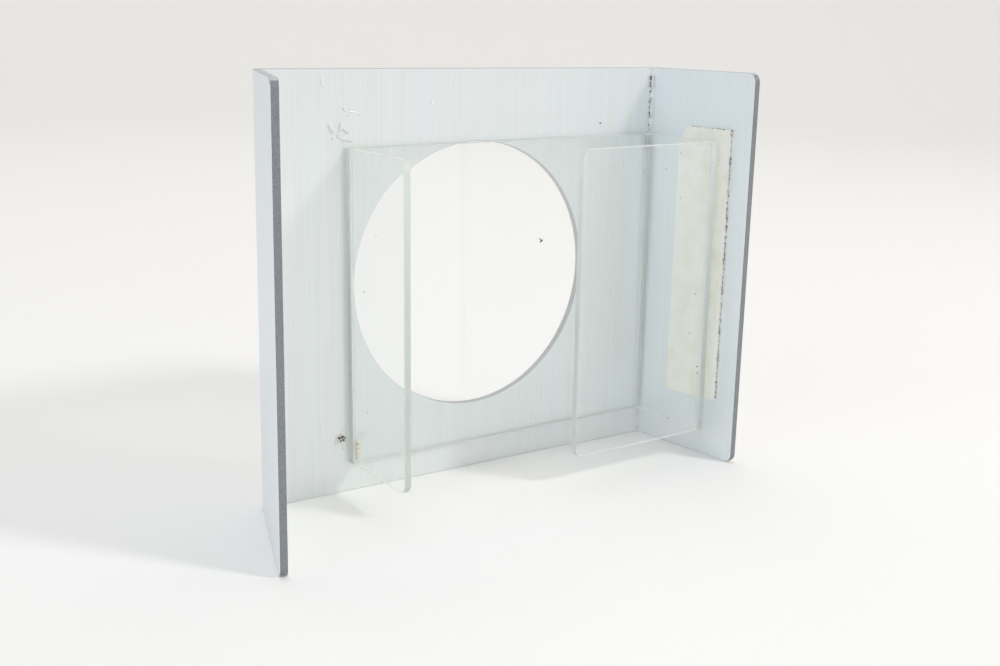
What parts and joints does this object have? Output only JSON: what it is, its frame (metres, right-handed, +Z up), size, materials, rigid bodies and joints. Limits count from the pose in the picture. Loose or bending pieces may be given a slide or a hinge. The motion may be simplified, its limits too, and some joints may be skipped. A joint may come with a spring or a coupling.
{
  "type": "film negative carrier",
  "caption": "Folded aluminium bracket with a round light aperture, holding a clear acrylic tray with a front lip that keeps a negative upright in the light path.",
  "frame": {"origin": "middle of the web's lower edge, at half the sheet's thickness, straight below the axis of the aperture", "axes": "+Z up, +X to the right along the web, +Y through the aperture towards the rear; the flanges and the tray reach forward along -Y"},
  "size_m": [0.2308, 0.0697, 0.1755],
  "materials": {
    "anodised_aluminium": "vertically brushed, clear anodised",
    "clear_acrylic": "clear, sawn and scraped edges",
    "foam": "aged cream foam",
    "tape_adhesive": "tacky film with dirt along its edges",
    "dried_glue": "glossy dried dabs"
  },
  "bodies": {
    "root": {"bracket": "anodised_aluminium", "back_panel": "clear_acrylic", "left_wall": "clear_acrylic", "right_wall": "clear_acrylic", "front_lip": "clear_acrylic", "flange_adhesive": "tape_adhesive", "foam_strip": "foam", "tray_adhesive": "tape_adhesive", "top_glue": "dried_glue", "bottom_glue": "dried_glue", "corner_glue": "dried_glue", "glue_drips": "dried_glue"}
  },
  "joints": []
}
